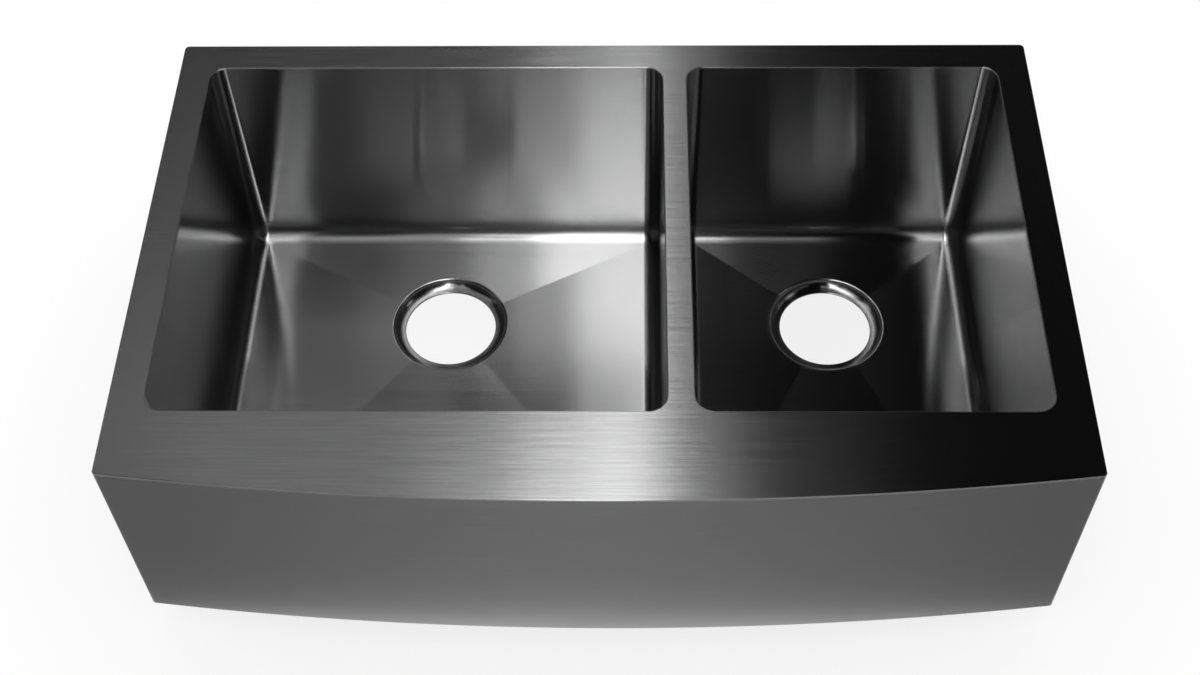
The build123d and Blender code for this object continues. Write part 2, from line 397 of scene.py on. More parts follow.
bowlForm = {
    "cornerRadius": 0.017,
    "floorBend": 0.0162,
    "fall": 0.0045,      # from the walls to the middle of the drain
    "creaseSharpness": 420.0,
    "wellRadius": 0.0595,
    "wellDrop": 0.006,
    "lipReach": 0.0022,  # the lip rolls over by this much outwards
    "lipDrop": 0.0012,   # and by this much down
    "lipTuck": 0.0002,   # how far below the floor's underside the lip starts on the outside
    "seatSlope": math.radians(5.0),
    "wallSlope": math.radians(57.0),
    "dishPower": 2.0,    # how late the slope grows from the seat to the wall
    "holeEase": 0.0002,
    "wallStops": (1.0, 0.9996, 0.9, 0.7, 0.5, 0.3, 0.1, 0.004),  # heights, as shares
    "arcSteps": 22,
    "sideSteps": 44,
    "bendSteps": 9,
    "floorRings": 24,
    "lipSteps": 9,
    "dishSteps": 16,
}


# Height of the creased floor: four planes rise from the drain's centre to the walls. The share of the
# way to each wall is a ratio of distances, and a soft maximum of the four leaves narrow round creases.
def floorHeight(x, y, centre, foot, level, form):
    xLow, xHigh, yLow, yHigh = foot
    shares = np.stack([
        (x - centre[0]) / (xHigh - centre[0]), (centre[0] - x) / (centre[0] - xLow),
        (y - centre[1]) / (yHigh - centre[1]), (centre[1] - y) / (centre[1] - yLow),
    ])
    sharp = form["creaseSharpness"]
    share = np.log(np.exp(sharp * shares).sum(0)) / sharp
    return level - form["fall"] * (1.0 - np.minimum(share, 1.0))


# One bowl as a closed skin of rings: down the outside, through the hole and up the inside. Wall and
# bend rings follow the rim's walk, floor rings slide along spokes from the bend to the well's lip, and
# well rings are circles. The dish's slope grows outwards with a power of the way, and its height is the
# sum of slope times step.
def makeBowl(node, drain, form):
    low, high = [np.array(c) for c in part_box(node)]
    centre = np.array(mounts[drain]["pos_m"][:2])
    holeRadius = mounts[drain]["dims"]["r_mm"] / 1000.0
    xLow, yLow = low[:2] + sheet
    xHigh, yHigh = high[:2] - sheet
    radius, bendRadius = form["cornerRadius"], form["floorBend"]
    top = high[2]
    seat = low[2] + sheet
    level = seat + form["wellDrop"] + form["fall"]
    walk = rectangleWalk(xLow, xHigh, yLow, yHigh, radius, form["arcSteps"], form["sideSteps"])
    foot = (xLow + radius, xHigh - radius, yLow + radius, yHigh - radius)
    count = len(walk["reach"])

    toe = ringAt(walk, bendRadius)
    spoke = toe - centre
    spoke = spoke / np.linalg.norm(spoke, axis=1)[:, None]
    lipPoint = centre + (form["wellRadius"] + form["lipReach"]) * spoke
    lipHeight = floorHeight(lipPoint[:, 0], lipPoint[:, 1], centre, foot, level, form)

    stops = np.array(form["wallStops"])
    turn = np.linspace(0.0, quarterTurn, form["bendSteps"] + 1)
    slide = 0.5 - 0.5 * np.cos(np.pi * np.arange(1, form["floorRings"] + 1) / form["floorRings"])
    lipTurn = np.linspace(0.0, quarterTurn, form["lipSteps"] + 1)[1:]
    dishShare = np.linspace(0.0, 1.0, form["dishSteps"] + 1)
    dishRadius = holeRadius + (form["wellRadius"] - holeRadius) * dishShare
    dishSlope = form["seatSlope"] + (form["wallSlope"] - form["seatSlope"]) * dishShare ** form["dishPower"]
    steep = np.tan(dishSlope)
    dishRise = np.concatenate([[0.0], np.cumsum(0.5 * (steep[1:] + steep[:-1]) * np.diff(dishRadius))])

    # Rows of (inset, height) down the wall and round the bend, a quarter circle. Here and below, the
    # skin is 0 on the inside and the sheet's thickness on the outside.
    def wallRows(skin):
        foothold = level + bendRadius
        reach = bendRadius + skin
        wall = np.column_stack([np.full(len(stops), -skin), foothold + (top - foothold) * stops])
        curve = np.column_stack([bendRadius - reach * np.cos(turn), foothold - reach * np.sin(turn)])
        return np.vstack([wall, curve])

    # A floor ring: a share of the way from the bend's toe to the lip, at the creased floor's height.
    def floorRing(share, skin):
        flat = toe + (lipPoint - toe) * share
        height = floorHeight(flat[:, 0], flat[:, 1], centre, foot, level, form) - skin
        return np.column_stack([flat, height])

    # A ring of the well: one point on every spoke, at one distance from the drain's centre.
    def circleRing(circleRadius, height):
        return np.column_stack([centre + circleRadius * spoke, np.broadcast_to(height, count)])

    # From the lip, a quarter ellipse, down the dish to the hole. The outside is the dish moved along
    # its normal by the skin, and stops at the level of the hole's lower edge.
    def wellRings(skin):
        if skin == 0.0:
            reach = form["wellRadius"] + form["lipReach"] * (1.0 - np.sin(lipTurn))
            drop = form["lipDrop"] * (1.0 - np.cos(lipTurn))
        else:
            reach, drop = [form["wellRadius"] + skin], [skin + form["lipTuck"]]
        rings = [circleRing(r, lipHeight - d) for r, d in zip(reach, drop)]
        reach = dishRadius + skin * np.sin(dishSlope)
        height = np.maximum(seat + dishRise - skin * np.cos(dishSlope), low[2])
        rings += [circleRing(r, h) for r, h in zip(reach[::-1], height[::-1])]
        if skin == 0.0:
            rings.append(circleRing(holeRadius, seat - form["holeEase"]))
        return rings

    # All rings of one skin from the rim to the hole, with the numbers at which floor and well start.
    def skinRings(skin):
        rings = list(carryProfile(walk, wallRows(skin)).reshape(-1, count, 3))
        floorFirst = len(rings) - 1
        rings += [floorRing(share, skin) for share in slide]
        wellFirst = len(rings) - 1
        return rings + wellRings(skin), floorFirst, wellFirst

    outside, outFloor, outWell = skinRings(sheet)
    inside, inFloor, inWell = skinRings(0.0)
    rings = np.array(outside + inside[::-1])
    quads, cornerRing, cornerStep = gridQuads(len(rings), count, True, True)

    # grain: on walls and in the well it runs round, on the floor it runs from left to right
    gap = np.linalg.norm(np.diff(rings, axis=0), axis=2).mean(1)
    down = np.concatenate([[0.0], np.cumsum(gap), [0.0]])
    around = walkLength(walk, True)
    roundGrain = np.stack([down[cornerRing], around[cornerStep]], 2)
    points = rings.reshape(-1, 3)
    floorGrain = np.stack([points[quads, 1], points[quads, 0]], 2)
    ringOfFace = cornerRing[:, 0]
    insideRing = len(rings) - 1 - ringOfFace - 1  # the same count from the inside's top
    onFloor = (ringOfFace >= outFloor) & (ringOfFace < outWell)
    onFloor |= (insideRing >= inFloor) & (insideRing < inWell)
    grain = np.where(onFloor[:, None, None], floorGrain, roundGrain)

    wallFace, floorFace, coatFace = 0, 1, 2
    inner = np.where(insideRing >= len(stops), floorFace, wallFace)
    finish = np.where(ringOfFace < len(outside), coatFace, inner)
    materials = [wallSteel, floorSteel, undercoat]
    piece = makePiece(pieceName(node, "skin"), points, [(quads, grain, finish)], materials)
    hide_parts(node)
    return walk


leftRim = makeBowl("left_bowl", "left_drain", bowlForm)
rightRim = makeBowl("right_bowl", "right_drain", bowlForm)
print("bowls made")

# Deck

deckForm = {
    "edgeRadius": 0.0008,  # rounding of the outer edge
    "rimRadius": 0.0009,   # rounding of the two openings
    "support": 0.0002,     # narrow band that keeps the flat top flat in the shading
    "edgeSteps": 6,
}


# The flat sheet: an edge profile carried round the outline, a rim profile round each opening (upright,
# then a quarter round out to the top), and flat faces filled between the rings above and below.
def makeDeck(form):
    arcSteps, sideSteps = outline["arcSteps"], outline["sideSteps"]
    back = outline["backCorner"]
    cornerX, cornerY = halfWidth - back, deckHigh[1] - back
    walk = joinWalk([
        leftBend(), bowPart(outline["bowSteps"]), rightBend(),
        straightPart([bendX, bendY], [bendX, cornerY], 0.0, bend, sideSteps),
        arcPart([cornerX, cornerY], back, 0.0, quarterTurn, arcSteps),
        straightPart([cornerX, cornerY], [-cornerX, cornerY], quarterTurn, back, sideSteps),
        arcPart([-cornerX, cornerY], back, quarterTurn, math.pi, arcSteps),
        straightPart([-bendX, cornerY], [-bendX, bendY], math.pi, bend, sideSteps),
    ])
    turn = np.linspace(0.0, quarterTurn, form["edgeSteps"] + 1)

    # Rows of (inset, height): a narrow flat band, a quarter circle to the upright edge, the underside.
    def edgeRows(ease):
        curve = np.column_stack([ease * (1.0 - np.sin(turn)), deckTop - ease * (1.0 - np.cos(turn))])
        return np.vstack([[ease + form["support"], deckTop], curve, [0.0, deckUnder]])

    edgeProfile = edgeRows(form["edgeRadius"])
    rimProfile = edgeRows(form["rimRadius"])[::-1] * [-1.0, 1.0]
    points, groups, topLoops, underLoops = [], [], [], []
    first = 0
    for ringWalk, profile, topRow, underRow in (
        (walk, edgeProfile, 0, -1), (leftRim, rimProfile, -1, 0), (rightRim, rimProfile, -1, 0),
    ):
        rings = carryProfile(ringWalk, profile)
        count = len(ringWalk["reach"])
        quads, cornerRing, cornerStep = gridQuads(len(profile), count, False, True, first)
        across, along = pathLength(profile), walkLength(ringWalk, True)
        groups.append((quads, np.stack([across[cornerRing], along[cornerStep]], 2), 0))
        numbers = first + np.arange(len(profile) * count).reshape(len(profile), count)
        topLoops.append(numbers[topRow])
        underLoops.append(numbers[underRow])
        points.append(rings)
        first += len(rings)
    points = np.concatenate(points)
    for loops, up in ((topLoops, True), (underLoops, False)):
        corners = tessellate_polygon([[Vector(p) for p in points[loop]] for loop in loops])
        faces = np.concatenate(loops)[np.array(corners)]
        a, b, c = [points[faces[:, k], :2] for k in range(3)]
        facing = (b - a)[:, 0] * (c - a)[:, 1] - (b - a)[:, 1] * (c - a)[:, 0]
        faces = np.where(((facing > 0) == up)[:, None], faces, faces[:, ::-1])
        groups.append((faces, np.stack([points[faces, 1], points[faces, 0]], 2), 0))
    piece = makePiece("deckSkin", points, groups, [deckSteel])
    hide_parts("deck_plate")


makeDeck(deckForm)
print("deck made")

# Apron

apronForm = {
    "bottomRadius": 0.0012,
    "edgeSteps": 5,
    "faceStops": (0.0, 0.004, 0.1, 0.3, 0.5, 0.7, 0.9, 0.994, 1.0),  # from the top down, as shares
}


# The bowed front with its side returns: a closed profile (outer face, rounded bottom edge, inner face)
# goes from the rear of the left return round the front to the rear of the right one. Flat caps end it.
def makeApron(form):
    rear = apronHigh[1]
    walk = joinWalk([
        arcPart([-bendX, rear], bend, math.pi, math.pi, 0),
        straightPart([-bendX, rear], [-bendX, bendY], math.pi, bend, outline["returnSteps"]),
        leftBend(), bowPart(outline["bowSteps"]), rightBend(),
        straightPart([bendX, bendY], [bendX, rear], 0.0, bend, outline["returnSteps"]),
        arcPart([bendX, rear], bend, 0.0, 0.0, 0),
    ])
    top, bottom, ease = apronHigh[2], apronLow[2], form["bottomRadius"]
    turn = np.linspace(0.0, quarterTurn, form["edgeSteps"] + 1)
    stops = np.array(form["faceStops"])
    outer = np.column_stack([np.zeros(len(stops)), top + (bottom + ease - top) * stops])
    edge = np.column_stack([ease * (1.0 - np.cos(turn)), bottom + ease * (1.0 - np.sin(turn))])[1:]
    inner = np.column_stack([np.full(len(stops), sheet), top + (bottom - top) * stops])[::-1]
    profile = np.vstack([outer, edge, inner])
    points = carryProfile(walk, profile)
    count = len(walk["reach"])
    quads, cornerRing, cornerStep = gridQuads(len(profile), count, True, False)
    across = np.concatenate([pathLength(profile), [0.0]])
    along = walkLength(walk, False)
    groups = [(quads, np.stack([across[cornerRing], along[cornerStep]], 2), 0)]
    ends = np.arange(len(profile)) * count
    for cap in (ends[::-1], ends + count - 1):
        groups.append((cap[None, :], np.stack([points[cap, 2], points[cap, 0]], 1)[None], 0))
    piece = makePiece("apronSkin", points, groups, [apronSteel])
    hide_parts("apron_panel")


makeApron(apronForm)
print("apron made")

# Sound pads

padForm = {
    "clip": 0.009,    # cut corners of the pads on the bowls
    "draft": 0.0004,  # lean of the edges
    "edgeRadius": 0.0014,
    "tile": 0.019,    # squares of the moulded pattern
    "leastTiles": 2,
    "grooveWidth": 0.0020,
    "grooveDepth": 0.0003,
    "grooveStops": (-1.0, -0.5, 0.0, 0.5, 1.0),  # across a groove, as shares of half its width
    "grooveShares": (0.0, 0.7, 1.0, 0.7, 0.0),  # of its depth there
    "topShare": 0.9,  # grooves are cut where a pad has this share of its height
    "roundSteps": 4,
}


# Stops across one side of a pad, from -half to half, with the shares of full height and groove there:
# it starts at the glued edge, leans in by the draft, turns over a quarter round, then come the grooves.
def padStops(half, thickness, form):
    turn = np.linspace(0.0, quarterTurn, form["roundSteps"] + 1)
    ease = form["edgeRadius"]
    inset = np.concatenate([[0.0], form["draft"] + ease * (1.0 - np.cos(turn))])
    height = np.concatenate([[0.0], 1.0 - ease / thickness * (1.0 - np.sin(turn))])
    count = max(form["leastTiles"], round(2.0 * half / form["tile"]))
    middles = -half + 2.0 * half * np.arange(1, count) / count
    offset = 0.5 * form["grooveWidth"] * np.array(form["grooveStops"])
    grooves = (middles[:, None] + offset).ravel()
    depth = np.tile(form["grooveShares"], count - 1)
    stops = np.concatenate([-half + inset, grooves, (half - inset)[::-1]])
    height = np.concatenate([height, np.ones(len(grooves)), height[::-1]])
    rim = np.zeros(len(inset))
    return stops, height, np.concatenate([rim, depth, rim])


# One pad: a grid over its two sides carries the height, the lesser of both edge shares less the deeper
# groove. Near the ends the second side shrinks by what the first has run into the cut corner. Place
# turns side, side and height into a point, and a second grid without height closes the glued face.
def makePad(node, halves, thickness, clip, place, form):
    first, firstHeight, firstGroove = padStops(halves[0], thickness, form)
    second, secondHeight, secondGroove = padStops(halves[1], thickness, form)
    cut = np.clip(np.abs(first) - (halves[0] - clip), 0.0, clip)
    along = np.repeat(first[:, None], len(second), 1)
    across = second[None, :] * (1.0 - cut / halves[1])[:, None]
    height = thickness * np.minimum(firstHeight[:, None], secondHeight)
    groove = form["grooveDepth"] * np.maximum(firstGroove[:, None], secondGroove)
    height = height - np.where(height > form["topShare"] * thickness, groove, 0.0)
    outer = place(along, across, height).reshape(-1, 3)
    glued = place(along, across, np.zeros_like(height))[1:-1, 1:-1].reshape(-1, 3)
    rows, columns = along.shape
    quads, _, _ = gridQuads(rows, columns, False, False)
    under = np.arange(rows * columns).reshape(rows, columns)
    under[1:-1, 1:-1] = rows * columns + np.arange(len(glued)).reshape(rows - 2, columns - 2)
    points = np.vstack([outer, glued])
    sides = np.stack([along.ravel(), across.ravel()], 1)
    backs = under.ravel()[quads][:, ::-1]
    corners = points[quads]
    normal = np.cross(corners[:, 2] - corners[:, 0], corners[:, 3] - corners[:, 1]).sum(0)
    outward = (place(0.0, 0.0, thickness) - place(0.0, 0.0, 0.0)) @ normal > 0.0
    groups = []
    for faces, grain in ((quads, sides[quads]), (backs, sides[quads][:, ::-1])):
        groups.append((faces, grain, 0) if outward else (faces[:, ::-1], grain[:, ::-1], 0))
    piece = makePiece(pieceName(node, "rubber"), points, groups, [padRubber])
    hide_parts(node)


# Pads on upright walls: the glued face is the box's side towards the bowl, and height runs outwards.
def wallPad(node, axis, sign, form):
    low, high = [np.array(c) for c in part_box(node)]
    middle = 0.5 * (low + high)
    side = 1 - axis  # the level side of the pad; the other is upright

    def place(along, across, height):  # along the wall, up it, and out from it
        point = np.empty(np.shape(height) + (3,))
        point[..., side] = middle[side] + along
        point[..., 2] = middle[2] + across
        point[..., axis] = (low if sign > 0 else high)[axis] + sign * height
        return point

    halves = 0.5 * (high - low)
    makePad(node, (halves[side], halves[2]), 2.0 * halves[axis], form["clip"], place, form)


# Pads under a creased floor: height runs down from the floor's underside.
def floorPad(node, bowl, drain, thickness, form):
    low, high = [np.array(c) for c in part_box(node)]
    bowlLow, bowlHigh = [np.array(c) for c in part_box(bowl)]
    inner = bowlForm["cornerRadius"] + sheet
    foot = (bowlLow[0] + inner, bowlHigh[0] - inner, bowlLow[1] + inner, bowlHigh[1] - inner)
    level = bowlLow[2] + bowlForm["wellDrop"] + bowlForm["fall"]
    centre = mounts[drain]["pos_m"]
    middle = 0.5 * (low + high)

    def place(along, across, height):  # along x, along y, and down
        x, y = middle[0] + along, middle[1] + across
        under = floorHeight(x, y, centre, foot, level, bowlForm)
        return np.stack([x + 0.0 * height, y + 0.0 * height, under - height], -1)

    makePad(node, tuple(0.5 * (high - low)[:2]), thickness, form["clip"], place, form)


# Pads on the back of the bowed front: height runs inwards from the sheet, towards the bow's centre.
def apronPad(node, thickness, form):
    low, high = [np.array(c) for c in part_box(node)]
    middle = 0.5 * (low + high)

    def place(along, across, height):  # along x, up, and back from the sheet
        x = middle[0] + along
        y = bowCentre[1] - np.sqrt((bowRadius - sheet - height) ** 2 - x ** 2)
        return np.stack([x + 0.0 * y, y, middle[2] + across + 0.0 * y], -1)

    makePad(node, (0.5 * (high - low)[0], 0.5 * (high - low)[2]), thickness, 0.0, place, form)


backPadLow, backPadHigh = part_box("left_bowl_back_pad")
padThickness = backPadHigh[1] - backPadLow[1]
for side in ("left", "right"):
    bowl, drain = side + "_bowl", side + "_drain"
    wallPad(bowl + "_back_pad", 1, 1, padForm)
    wallPad(bowl + "_front_pad", 1, -1, padForm)
    wallPad(bowl + "_left_side_pad", 0, -1, padForm)
    wallPad(bowl + "_right_side_pad", 0, 1, padForm)
    for spot in ("front", "left", "right"):
        floorPad(bowl + "_floor_" + spot + "_pad", bowl, drain, padThickness, padForm)
for spot in ("left", "middle", "right"):
    apronPad("apron_" + spot + "_pad", padThickness, padForm)
print("pads made")

# Weld beads

weldForm = {
    "leg": 0.003,
    "crown": 0.10,    # how far the bead stands out past a flat fillet, as a share of it
    "pitch": 0.0032,  # from ripple to ripple
    "ripple": 0.07,   # height of a ripple, as a share of the bead
    "lag": 1.6,       # how far the ripples hang back in the bead's middle, in radians
    "stepsPerRipple": 6,
    "arcSteps": 7,
    "endGap": 0.002,
    "grainStep": 0.001,
}


# Even steps along a walk, so that ripples keep one pitch: every column is read off by distance.
def evenWalk(walk, closed, spacing):
    length = walkLength(walk, closed)
    columns = [*walk["anchor"].T, *walk["normal"].T, walk["reach"]]
    if closed:
        columns = [np.append(c, c[0]) for c in columns]
    count = int(length[-1] / spacing)
    stop = np.linspace(0.0, length[-1], count, endpoint=not closed)
    x, y, nx, ny, reach = [np.interp(stop, length, c) for c in columns]
    normal = np.stack([nx, ny], 1) / np.hypot(nx, ny)[:, None]
    return {"anchor": np.stack([x, y], 1), "normal": normal, "reach": reach}, stop


# A rippled fillet bead in the corner between an upright wall and a level sheet. At every step an arc
# runs from the sheet to the wall. Its distance from the corner is that of a flat fillet, raised in its
# middle and by a cosine of the way along, whose waves hang back there as a moving weld pool leaves them.
def beadPoints(walk, closed, wallInset, outwards, corner, upwards, form):
    even, stop = evenWalk(walk, closed, form["pitch"] / form["stepsPerRipple"])
    angle = np.linspace(0.0, quarterTurn, form["arcSteps"] + 1)[:, None]
    middle = np.sin(2.0 * angle)
    wave = np.cos(2.0 * math.pi * stop / form["pitch"] + form["lag"] * middle)
    flat = form["leg"] / (np.cos(angle) + np.sin(angle))
    reach = flat * (1.0 + middle * (form["crown"] + form["ripple"] * (wave - 1.0)))
    inset = wallInset - outwards * reach * np.cos(angle)
    height = corner + upwards * reach * np.sin(angle)
    inset = np.vstack([inset, np.full((1, len(stop)), wallInset)])
    height = np.vstack([height, np.full((1, len(stop)), corner)])
    flatPoint = even["anchor"] + (even["reach"] - inset)[..., None] * even["normal"]
    return np.concatenate([flatPoint, height[..., None]], 2), stop


# Joins beads into one piece. Each is a closed skin of rings, with flat ends where its walk is open. It
# is turned where its faces point towards its middle.
def makeBeads(node, beads, form):
    points, groups, first = [], [], 0
    for rings, stop, closed in beads:
        rows, count = rings.shape[:2]
        quads, cornerRing, cornerStep = gridQuads(rows, count, True, closed, first)
        along = np.append(stop, 2.0 * stop[-1] - stop[-2])
        grain = np.stack([form["grainStep"] * cornerRing, along[cornerStep]], 2)
        corners = rings.reshape(-1, 3)[quads - first]
        facing = np.cross(corners[:, 2] - corners[:, 0], corners[:, 3] - corners[:, 1])
        inner = rings.mean(0)[cornerStep[:, 0] % count]
        turned = ((corners.mean(1) - inner) * facing).sum() < 0.0
        groups.append((quads[:, ::-1] if turned else quads, grain[:, ::-1] if turned else grain, 0))
        if not closed:
            ends = first + np.arange(rows) * count
            for cap, flip in ((ends, turned), (ends + count - 1, not turned)):
                cap = cap if flip else cap[::-1]
                groups.append((cap[None, :], np.zeros((1, rows, 2)), 0))
        points.append(rings.reshape(-1, 3))
        first += rows * count
    piece = makePiece(pieceName(node, "bead"), np.concatenate(points), groups, [millMetal])
    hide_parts(node)


# The apron's three beads: one along the bow and one along each return, short of the bends.
def makeApronBeads(node, corner, upwards, form):
    inner = halfWidth - sheet
    clear = form["leg"] + form["endGap"]
    reach = math.asin((inner - clear) / (bowRadius - sheet))
    rear = apronHigh[1]
    start = bowCentre[1] - math.sqrt((bowRadius - sheet) ** 2 - inner ** 2) + clear
    bow = arcPart(bowCentre, bowRadius, -quarterTurn - reach, -quarterTurn + reach, outline["bowSteps"])
    left = ([[-halfWidth, rear], [-halfWidth, start]], [[-1.0, 0.0]] * 2, [0.0, 0.0])
    right = ([[halfWidth, start], [halfWidth, rear]], [[1.0, 0.0]] * 2, [0.0, 0.0])
    walks = [joinWalk([part]) for part in (bow, left, right)]
    beads = [beadPoints(walk, False, sheet, -1.0, corner, upwards, form) for walk in walks]
    makeBeads(node, [(*bead, False) for bead in beads], form)


for node, rim in (("left_rim_weld", leftRim), ("right_rim_weld", rightRim)):
    makeBeads(node, [(*beadPoints(rim, True, -sheet, 1.0, deckUnder, -1.0, weldForm), True)], weldForm)
makeApronBeads("apron_seam_weld", deckUnder, -1.0, weldForm)
makeApronBeads("lip_seam_weld", apronLow[2] + sheet, 1.0, weldForm)
print("welds made")

# CAD nodes that stay: the braces and the apron's lip
for name in ("left_apron_brace", "right_apron_brace", "apron_bottom_lip"):
    mesh = nodes[name].data
    mesh.materials.clear()
    mesh.materials.append(millMetal)
print("kept nodes finished")

# Floor and backdrop

floorLook = {
    "tone": (0.86, 0.86, 0.86),
    "lift": 1.0,    # share of plain white that the camera and the steel see
    "shade": 0.28,  # how much of it the sink's nearness takes away
    "shadeReach": 0.30,
    "shadeSamples": 8,
    "flatRadius": 4.0,
    "outerRadius": 7.5,
    "rimHeight": 0.5,
    "flatRings": 8,
    "rimRings": 24,
    "steps": 96,
}


# A wide disc whose rim curves up into a low backdrop: height grows with the square of the way past the
# flat part. Camera and steel see plain white, less the shade near the sink; other rays see matt paint.
def makeFloor(look):
    flat, outer = look["flatRadius"], look["outerRadius"]
    radius = np.concatenate([
        np.linspace(0.0, flat, look["flatRings"] + 1), np.linspace(flat, outer, look["rimRings"] + 1)[1:],
    ])
    angle = np.linspace(0.0, 2.0 * math.pi, look["steps"] + 1)[:-1]
    past = np.clip((radius - flat) / (outer - flat), 0.0, 1.0)
    height = np.broadcast_to(look["rimHeight"] * past[1:, None] ** 2, (len(radius) - 1, look["steps"]))
    rings = np.stack([radius[1:, None] * np.cos(angle), radius[1:, None] * np.sin(angle), height], 2)
    points = np.vstack([[[0.0, 0.0, 0.0]], rings.reshape(-1, 3)])
    quads, _, _ = gridQuads(len(radius) - 1, look["steps"], False, True, 1)
    step = np.arange(look["steps"])
    hub = np.stack([0 * step, 1 + step, 1 + (step + 1) % look["steps"]], 1)
    mesh = bpy.data.meshes.new("studioFloor")
    mesh.from_pydata(points.tolist(), [], quads.tolist() + hub.tolist())
    mesh.shade_smooth()

    material, tree, mix = newMaterial("studioFloor", "ShaderNodeMixShader")
    path = tree.nodes.new("ShaderNodeLightPath")
    seen = combine(tree, "MAXIMUM", path.outputs["Is Camera Ray"], path.outputs["Is Glossy Ray"])
    samples = {"samples": look["shadeSamples"]}
    nearby = addNode(tree, "ShaderNodeAmbientOcclusion", samples, Distance=look["shadeReach"])
    white = rangeOf(tree, nearby.outputs["AO"], look["lift"] * (1.0 - look["shade"]), look["lift"])
    share = combine(tree, "MULTIPLY", seen, white)
    matt = addNode(tree, "ShaderNodeBsdfDiffuse", Color=(*look["tone"], 1.0))
    glow = addNode(tree, "ShaderNodeEmission", Color=(1.0, 1.0, 1.0, 1.0), Strength=1.0)
    for source, socket in zip((share, matt.outputs[0], glow.outputs[0]), mix.inputs):
        tree.links.new(source, socket)
    mesh.materials.append(material)
    addObject("studioFloor", mesh)


makeFloor(floorLook)
print("floor made")

# Grey cards of painted shade that keep the white floor out of the steel, seen only in its reflections:
# one lies before the apron and darkens the floor that the apron mirrors, and a round one under each
# drain stands in for the shade under the sink. The camera looks past them, and they neither light nor
# shade anything.
shadeCardLook = {
    "drainTone": 0.45,
    "drainMargin": 0.02,
    "drainRings": (0.05, 0.5, 1.0),  # as shares of the radius
    "drainSteps": 64,
    "apronTone": (0.85, 0.40),  # next to the apron, and from the reach on
    "apronReach": 0.30,
    "apronEnds": 0.55,  # share of the tone that is left to the sides of the sink
    "apronSides": (0.1, 0.55),  # where it starts to fall, and where it ends
    "apronGap": (0.034, 0.014),  # white floor between apron and card, in the middle and at the ends
    "apronRange": (-0.75, 0.75, -0.95),  # left, right, front
    "apronSteps": 32,
    "lift": 0.0006,
}


# A card of painted shade that only reflections see: its tone is the first range over its depth times
# the second over its distance to either side.
def addShadeCard(name, points, faces, depthRange, sideRange):
    mesh = bpy.data.meshes.new(name)
    mesh.from_pydata(points.reshape(-1, 3).tolist(), [], faces)
    material, tree, shader = newMaterial(name)
    link = tree.links.new
    split = tree.nodes.new("ShaderNodeSeparateXYZ")
    link(tree.nodes.new("ShaderNodeTexCoord").outputs["Object"], split.inputs[0])
    byDepth = rangeOf(tree, split.outputs["Y"], *depthRange)
    bySide = rangeOf(tree, combine(tree, "ABSOLUTE", split.outputs["X"]), *sideRange)
    link(combine(tree, "MULTIPLY", byDepth, bySide), shader.inputs["Base Color"])
    shader.inputs["Roughness"].default_value = 1.0
    mesh.materials.append(material)
    flag = addObject(name, mesh)
    flag.visible_camera = flag.visible_diffuse = flag.visible_shadow = False


# A round card of painted shade under a drain: rings of points at a share of the radius, round the
# drain's middle.
def drainShadeCard(name, look):
    radius = mounts[name]["dims"]["r_mm"] / 1000.0 + look["drainMargin"]
    steps = look["drainSteps"]
    angle = np.linspace(0.0, 2.0 * math.pi, steps + 1)[:-1]
    reach = radius * np.array(look["drainRings"])[:, None]
    x, y = mounts[name]["pos_m"][:2]
    rings = np.stack([
        x + reach * np.cos(angle), y + reach * np.sin(angle), np.full((len(reach), steps), look["lift"]),
    ], 2)
    quads, _, _ = gridQuads(len(reach), steps, False, True)
    faces = quads.tolist() + [list(range(steps))]
    addShadeCard(pieceName(name, "flag"), rings, faces, [look["drainTone"]] * 2, [1.0, 1.0])


# A flat card of painted shade before the apron, lighter next to it and darker further out and towards
# the sides, whose back edge keeps its gap from the bowed front: two rows of points, the back one at the
# bow's radius plus the gap from its centre.
def apronFlag(look):
    left, right, front = look["apronRange"]
    count = look["apronSteps"] + 1
    x = np.linspace(left, right, count)
    middleGap, endGap = look["apronGap"]
    gap = middleGap + (endGap - middleGap) * np.minimum(np.abs(x) / halfWidth, 1.0) ** 2
    back = bowCentre[1] - np.sqrt((bowRadius + gap) ** 2 - x ** 2)
    y = np.stack([np.full(count, front), back])
    points = np.stack([np.stack([x, x]), y, np.full((2, count), look["lift"])], 2)
    quads, _, _ = gridQuads(2, count, False, False)
    near, far = look["apronTone"]
    depthRange = (far, near, frontY - look["apronReach"], frontY)
    sideRange = (1.0, look["apronEnds"], *look["apronSides"])
    addShadeCard("apronFlag", points, quads[:, ::-1].tolist(), depthRange, sideRange)


for name in ("left_drain", "right_drain"):
    drainShadeCard(name, shadeCardLook)
apronFlag(shadeCardLook)
print("cards laid")

# Light

worldLook = {"dark": 0.001, "white": 1.0}  # for all rays, and for those from the camera past the floor
world = bpy.data.worlds.new("studio")
world.use_nodes = True
worldTree = world.node_tree
cameraRay = worldTree.nodes.new("ShaderNodeLightPath").outputs["Is Camera Ray"]
worldShade = rangeOf(worldTree, cameraRay, worldLook["dark"], worldLook["white"])
worldTree.links.new(worldShade, worldTree.nodes["Background"].inputs["Color"])
scene.world = world

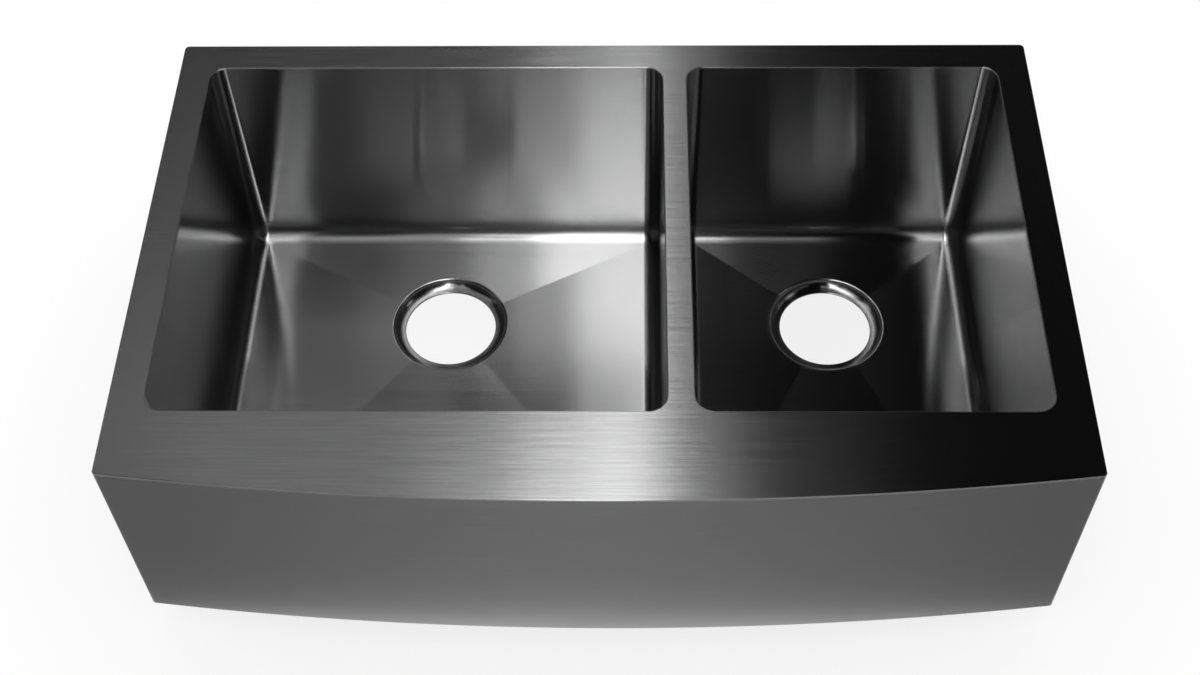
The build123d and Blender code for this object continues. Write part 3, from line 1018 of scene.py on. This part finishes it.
# Soft boxes: middle, width and length in metres, and brightness, where 1 is white. A long bank hangs
# overhead from front to back, narrows behind the sink, and has weaker panels beside it. A ring of low
# panels lights the outside, and three that the steel doesn't mirror light the coat and the rubber.
overheadHeight = 2.2
overheadBoxes = {
    "bank": ((-0.05, -0.175), (0.3, 1.55), 3.3),
    "bankRight": ((0.18, -0.15), (0.16, 0.5), 2.4),
    "bankLeft": ((-0.29, 0.05), (0.18, 1.1), 1.5),
    "front": ((-0.06, -1.375), (0.28, 0.85), 3.0),
    "frontStep": ((-0.29, -1.375), (0.18, 0.85), 1.8),
    "frontLeft": ((-0.49, -1.625), (0.22, 1.35), 0.33),
    "left": ((-0.64, -0.325), (0.52, 1.25), 0.42),
    "frontSide": ((-0.95, -1.3), (0.14, 0.7), 0.7),
    "frontLow": ((-0.05, -2.5), (0.3, 1.4), 1.3),
    "leftPanel": ((-1.0, 0.9), (1.2, 0.6), 0.6),
    "backNear": ((-0.005, 0.9), (0.11, 0.6), 1.2),
    "backMid": ((0.06, 1.625), (0.14, 0.85), 1.1),
    "backFar": ((0.04, 2.475), (0.12, 0.85), 0.55),
    "backFarLeft": ((-0.11, 1.8), (0.18, 1.2), 0.45),
    "backFarRight": ((0.195, 2.05), (0.13, 1.7), 0.22),
    "right": ((1.8, 0.35), (0.8, 0.5), 0.8),
    "rightMid": ((0.38, -0.15), (0.24, 0.5), 0.4),
}
lowBoxes = {
    "lowFront": ((0.0, -3.4, 0.95), (2.8, 1.3), 0.42),
    "lowBack": ((0.0, 3.4, 0.8), (2.8, 1.0), 0.22),
    "lowLeft": ((-3.4, 0.0, 0.95), (2.8, 1.3), 0.2),
    "lowRight": ((3.4, 0.0, 0.95), (2.8, 1.3), 0.2),
    "lowFrontLeft": ((-2.4, -2.4, 0.95), (2.8, 1.3), 0.3),
    "lowFrontRight": ((2.4, -2.4, 0.95), (2.8, 1.3), 0.3),
    "lowBackLeft": ((-2.4, 2.4, 0.9), (2.8, 1.2), 0.22),
    "lowBackRight": ((2.4, 2.4, 0.9), (2.8, 1.2), 0.22),
}
fillBoxes = {
    "fillLeft": ((-3.6, 0.0, 0.95), (3.6, 1.3), 2.0),
    "fillRight": ((3.6, 0.0, 0.95), (3.6, 1.3), 2.0),
    "fillBack": ((0.0, 3.6, 0.95), (3.6, 1.3), 2.0),
}


# A rectangular lamp: its power is brightness times pi times its area, so that brightness 1 looks white.
def addSoftBox(name, middle, size, brightness, facing, inSteel):
    data = bpy.data.lights.new(name, "AREA")
    data.shape = "RECTANGLE"
    data.size, data.size_y = size
    data.energy = brightness * math.pi * size[0] * size[1]
    lamp = addObject(name, data)
    turned = facing.to_track_quat("-Z", "Y").to_matrix().to_4x4()
    lamp.matrix_world = Matrix.Translation(middle) @ turned
    lamp.visible_camera = False
    lamp.visible_glossy = inSteel


for name, (middle, size, brightness) in overheadBoxes.items():
    addSoftBox(name, (*middle, overheadHeight), size, brightness, Vector((0.0, 0.0, -1.0)), True)
for boxes, inSteel in ((lowBoxes, True), (fillBoxes, False)):
    for name, (middle, size, brightness) in boxes.items():
        addSoftBox(name, middle, size, brightness, Vector((-middle[0], -middle[1], 0.0)), inSteel)
print("light set")

# Camera

cameraLook = {
    "place": (0.02579, -0.9794, 1.45564),
    "pitch": 53.487,  # degrees, as are the next two
    "yaw": 1.61,
    "roll": -1.251,
    "lens": 50.89,
    "sensor": 36.0,
}


# The camera at its place: turned left by yaw, tipped down by pitch, rolled about its line of sight.
def addCamera(look):
    pitch, yaw, roll = [math.radians(look[k]) for k in ("pitch", "yaw", "roll")]
    level = Vector((-math.sin(yaw), math.cos(yaw), 0.0))
    right = Vector((math.cos(yaw), math.sin(yaw), 0.0))
    rise = Vector((0.0, 0.0, 1.0))
    ahead = math.cos(pitch) * level - math.sin(pitch) * rise
    above = math.sin(pitch) * level + math.cos(pitch) * rise
    side = math.cos(roll) * right + math.sin(roll) * above
    crown = math.cos(roll) * above - math.sin(roll) * right
    data = bpy.data.cameras.new("photoCamera")
    data.lens = look["lens"]
    data.sensor_width = look["sensor"]
    turned = Matrix((side, crown, -ahead)).transposed().to_4x4()
    scene.camera = addObject("photoCamera", data)
    scene.camera.matrix_world = Matrix.Translation(look["place"]) @ turned


addCamera(cameraLook)
